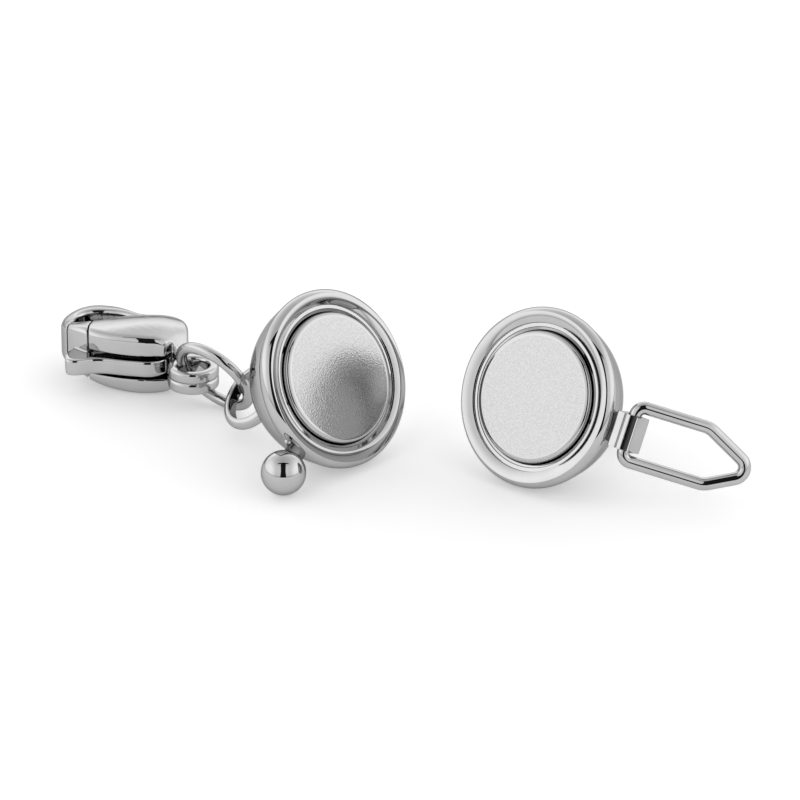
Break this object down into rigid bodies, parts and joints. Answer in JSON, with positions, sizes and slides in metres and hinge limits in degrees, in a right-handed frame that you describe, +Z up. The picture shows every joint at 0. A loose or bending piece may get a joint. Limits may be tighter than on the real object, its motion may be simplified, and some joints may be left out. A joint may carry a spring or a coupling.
{
  "type": "magnetic clasp",
  "caption": "Magnetic ball clasp lying open: domed halves with magnet faces, a wire bail that snaps over a small catch ball, and a lobster clasp on a jump ring.",
  "frame": {"origin": "bottom centre of the bounding box, on the surface that the clasp lies on", "axes": "+X from the lobster clasp towards the wire bail, +Y away from the side that the mouths of both halves face, +Z up"},
  "size_m": [0.0538, 0.0292, 0.0131],
  "materials": {
    "polished_steel": "bright polish",
    "satin_face": "fine pebbled satin on the face, plain below it"
  },
  "bodies": {
    "clasp": {"left_cup": "polished_steel", "left_magnet": "satin_face", "jump_ring": "polished_steel", "lobster_body": "polished_steel", "lobster_rivet": "polished_steel", "right_cup": "polished_steel", "right_magnet": "satin_face"},
    "lever": {"lobster_lever": "polished_steel"},
    "bail": {"safety_bail": "polished_steel"}
  },
  "joints": [
    {"name": "lever_hinge", "type": "hinge", "parent": "clasp", "child": "lever", "pos_m": [-0.01896, 0.00788, 0.00245], "axis": [0, 0, -1], "range_deg": [0, 15], "stiffness_Nm_per_rad": 0.01, "springref_deg": -11.46},
    {"name": "bail_hinge", "type": "hinge", "parent": "clasp", "child": "bail", "pos_m": [0.01764, -0.01311, 0.00581], "axis": [0.3026, 0.2918, 0.9073], "range_deg": [-130, 85]}
  ]
}
